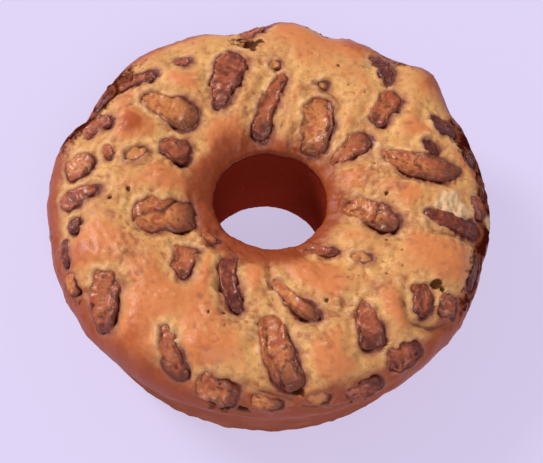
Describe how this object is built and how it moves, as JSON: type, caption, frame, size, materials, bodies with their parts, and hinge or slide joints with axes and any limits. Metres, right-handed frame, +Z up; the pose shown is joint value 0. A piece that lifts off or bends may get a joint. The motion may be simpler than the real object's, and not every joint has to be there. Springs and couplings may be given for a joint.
{
  "type": "jewish apple cake",
  "caption": "Ring-shaped tube cake with a domed golden crust, a hole through its middle and browned apple slices sunk in the top.",
  "frame": {"origin": "centre of the underside, at the middle of the cake's box", "axes": "+Z up along the hole, out of the domed crust; +X to the right as seen from the front"},
  "size_m": [0.2498, 0.2502, 0.0866],
  "materials": {
    "crust": "golden baked batter crust, satin",
    "baked_apple": "browned apple flesh with cinnamon, satin to glossy"
  },
  "bodies": {
    "root": {"cake": "crust", "apple_slice_01": "baked_apple", "apple_slice_02": "baked_apple", "apple_slice_03": "baked_apple", "apple_slice_04": "baked_apple", "apple_slice_05": "baked_apple", "apple_slice_06": "baked_apple", "apple_slice_07": "baked_apple", "apple_slice_08": "baked_apple", "apple_slice_09": "baked_apple", "apple_slice_10": "baked_apple", "apple_slice_11": "baked_apple", "apple_slice_12": "baked_apple", "apple_slice_13": "baked_apple", "apple_slice_14": "baked_apple", "apple_slice_15": "baked_apple", "apple_slice_16": "baked_apple", "apple_slice_17": "baked_apple", "apple_slice_18": "baked_apple", "apple_slice_19": "baked_apple", "apple_slice_20": "baked_apple", "apple_slice_21": "baked_apple", "apple_slice_22": "baked_apple", "apple_slice_23": "baked_apple", "apple_slice_24": "baked_apple", "apple_slice_25": "baked_apple", "apple_slice_26": "baked_apple", "apple_slice_27": "baked_apple", "apple_slice_28": "baked_apple", "apple_slice_29": "baked_apple", "apple_slice_30": "baked_apple", "apple_slice_31": "baked_apple", "apple_slice_32": "baked_apple", "apple_slice_33": "baked_apple", "apple_slice_34": "baked_apple", "apple_slice_35": "baked_apple", "apple_slice_36": "baked_apple", "apple_slice_37": "baked_apple", "apple_slice_38": "baked_apple", "apple_slice_39": "baked_apple", "apple_slice_40": "baked_apple", "apple_slice_41": "baked_apple", "apple_slice_42": "baked_apple", "apple_slice_43": "baked_apple", "apple_slice_44": "baked_apple", "apple_slice_45": "baked_apple", "apple_slice_46": "baked_apple", "apple_slice_47": "baked_apple", "apple_slice_48": "baked_apple", "apple_slice_49": "baked_apple", "apple_slice_50": "baked_apple"}
  },
  "joints": []
}
